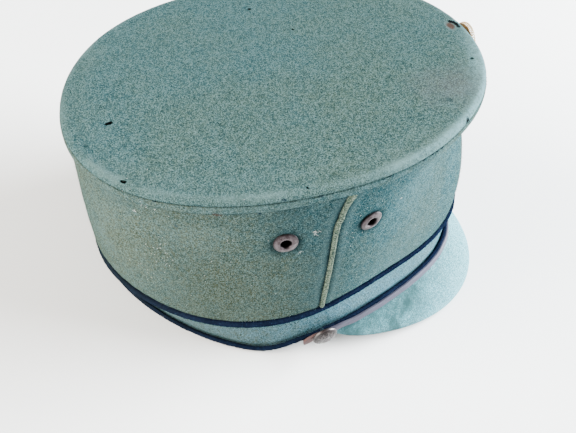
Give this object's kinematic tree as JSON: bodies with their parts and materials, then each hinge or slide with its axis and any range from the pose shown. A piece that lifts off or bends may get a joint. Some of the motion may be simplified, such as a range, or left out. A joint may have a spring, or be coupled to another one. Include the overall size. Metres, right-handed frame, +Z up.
{
  "type": "kepi cap",
  "caption": "Old grey-green wool kepi with navy cords, a cloth peak, a leather chin strap, vent eyelets and a plain round cockade, moth holes in its flat top",
  "frame": {"origin": "On the floor, below the middle of the part's bounding box.", "axes": "+Z up. The peak points to -Y, the wearer's left is +X and the back is +Y. The cap rests as it would by itself, on the back of its rim and on the tip of its peak."},
  "size_m": [0.1862, 0.2465, 0.1378],
  "materials": {
    "cloth": "felted wool, grey-green with a speckled worn nap",
    "band": "felted wool, grey-green, slightly bluer than the crown",
    "navy": "wool-covered cord, dark navy",
    "peak": "felted wool over a stiff core, faded pale grey-green",
    "leather": "old brown leather, dull and faded to mauve",
    "eyelet": "tarnished, mauve grey",
    "button": "dull white metal with a worn relief",
    "cockade": "gold-orange thread over a woven disc"
  },
  "bodies": {
    "root": {"crown_top": "cloth", "front_panel": "cloth", "rear_panel": "cloth", "side_piping_left": "cloth", "side_piping_right": "cloth", "band": "band", "upper_piping": "navy", "lower_piping": "navy", "peak": "peak", "chin_strap": "leather", "strap_button_left": "button", "strap_button_right": "button", "vent_eyelet_left_front": "eyelet", "vent_eyelet_left_rear": "eyelet", "vent_eyelet_right_front": "eyelet", "vent_eyelet_right_rear": "eyelet", "cockade": "cockade"}
  },
  "joints": []
}
